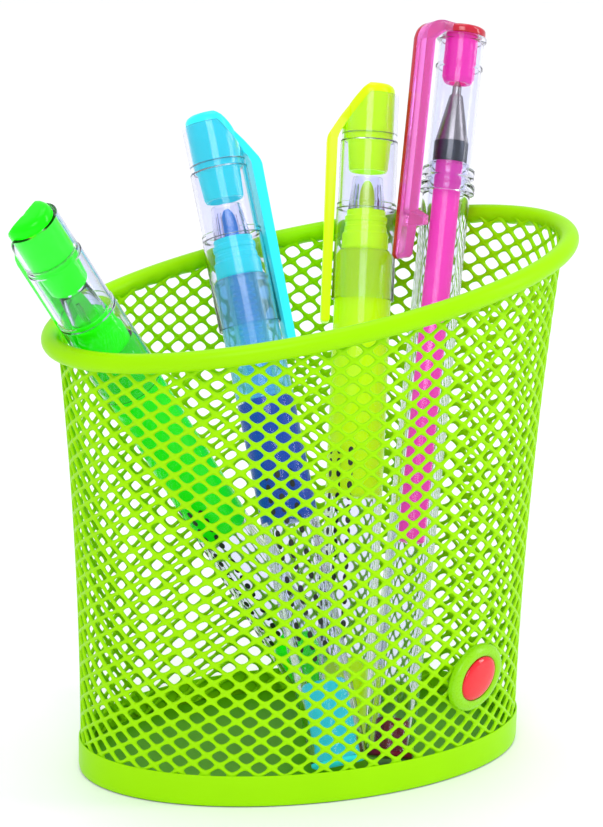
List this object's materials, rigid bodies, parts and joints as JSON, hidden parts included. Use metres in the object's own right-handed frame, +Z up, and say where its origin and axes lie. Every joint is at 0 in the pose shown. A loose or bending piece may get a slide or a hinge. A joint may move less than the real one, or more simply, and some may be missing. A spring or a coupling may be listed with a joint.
{
  "type": "desk cup with capped pens",
  "caption": "Oval wire-mesh desk cup with a slanting tube rim and floor plate, holding clear-barrelled highlighters and a gel pen that lift out and have pull-off caps.",
  "frame": {"origin": "centre of the cup's underside, on the desk", "axes": "+Z up, +X along the cup's long oval axis towards the high end of its rim, +Y towards the back"},
  "size_m": [0.1236, 0.0793, 0.1473],
  "materials": {
    "cup_lime": "glossy lime lacquer",
    "badge_green": "glossy",
    "badge_red": "glossy",
    "clear_shell": "clear, polished",
    "green_neon": "translucent neon green",
    "blue_neon": "translucent neon blue",
    "yellow_neon": "translucent neon yellow",
    "pink_neon": "translucent neon pink",
    "green_ink_fill": "wet ink behind clear plastic",
    "blue_ink_fill": "wet ink behind clear plastic",
    "yellow_ink_fill": "wet ink behind clear plastic",
    "pink_ink_fill": "wet ink behind clear plastic",
    "green_felt": "matt felt",
    "blue_felt": "matt felt",
    "yellow_felt": "matt felt",
    "collar_metal": "dark, fine knurling",
    "tip_metal": "polished"
  },
  "bodies": {
    "cup": {"mesh_wall": "cup_lime", "rim_tube": "cup_lime", "base_band": "cup_lime", "floor_plate": "cup_lime", "badge_holder": "badge_green", "badge_dome": "badge_red"},
    "green_pen": {"green_barrel": "clear_shell", "green_tail_plug": "green_neon", "green_nib_holder": "green_neon", "green_nib": "green_felt", "green_nose_guard": "clear_shell", "green_feed": "green_neon", "green_ink": "green_ink_fill"},
    "green_cap": {"green_cap_tube": "clear_shell", "green_cap_clip": "green_neon"},
    "blue_pen": {"blue_barrel": "clear_shell", "blue_tail_plug": "blue_neon", "blue_nib_holder": "blue_neon", "blue_nib": "blue_felt", "blue_nose_guard": "clear_shell", "blue_feed": "blue_neon", "blue_ink": "blue_ink_fill"},
    "blue_cap": {"blue_cap_tube": "clear_shell", "blue_cap_clip": "blue_neon"},
    "yellow_pen": {"yellow_barrel": "clear_shell", "yellow_tail_plug": "yellow_neon", "yellow_nib_holder": "yellow_neon", "yellow_nib": "yellow_felt", "yellow_nose_guard": "clear_shell", "yellow_feed": "yellow_neon", "yellow_ink": "yellow_ink_fill"},
    "yellow_cap": {"yellow_cap_tube": "clear_shell", "yellow_cap_clip": "yellow_neon"},
    "pink_pen": {"pink_barrel": "clear_shell", "pink_tail_plug": "pink_neon", "pink_ink_tube": "pink_ink_fill", "pink_collar": "collar_metal", "pink_cone_tip": "tip_metal", "pink_ball_point": "tip_metal"},
    "pink_cap": {"pink_cap_tube": "clear_shell", "pink_cap_seal": "pink_neon", "pink_cap_clip": "pink_neon"}
  },
  "joints": [
    {"name": "green_pen_lift", "type": "slide", "parent": "cup", "child": "green_pen", "axis": [-0.5348, -0.1393, 0.8334], "range_m": [0, 0.14]},
    {"name": "green_cap_pull", "type": "slide", "parent": "green_pen", "child": "green_cap", "axis": [-0.5348, -0.1393, 0.8334], "range_m": [0, 0.05]},
    {"name": "blue_pen_lift", "type": "slide", "parent": "cup", "child": "blue_pen", "axis": [-0.0452, 0.4455, 0.8942], "range_m": [0, 0.14]},
    {"name": "blue_cap_pull", "type": "slide", "parent": "blue_pen", "child": "blue_cap", "axis": [-0.0452, 0.4455, 0.8942], "range_m": [0, 0.05]},
    {"name": "yellow_pen_lift", "type": "slide", "parent": "cup", "child": "yellow_pen", "axis": [0.1643, 0.313, 0.9354], "range_m": [0, 0.14]},
    {"name": "yellow_cap_pull", "type": "slide", "parent": "yellow_pen", "child": "yellow_cap", "axis": [0.1643, 0.313, 0.9354], "range_m": [0, 0.05]},
    {"name": "pink_pen_lift", "type": "slide", "parent": "cup", "child": "pink_pen", "axis": [0.242, 0.3455, 0.9067], "range_m": [0, 0.14]},
    {"name": "pink_cap_pull", "type": "slide", "parent": "pink_pen", "child": "pink_cap", "axis": [0.242, 0.3455, 0.9067], "range_m": [0, 0.05]}
  ]
}
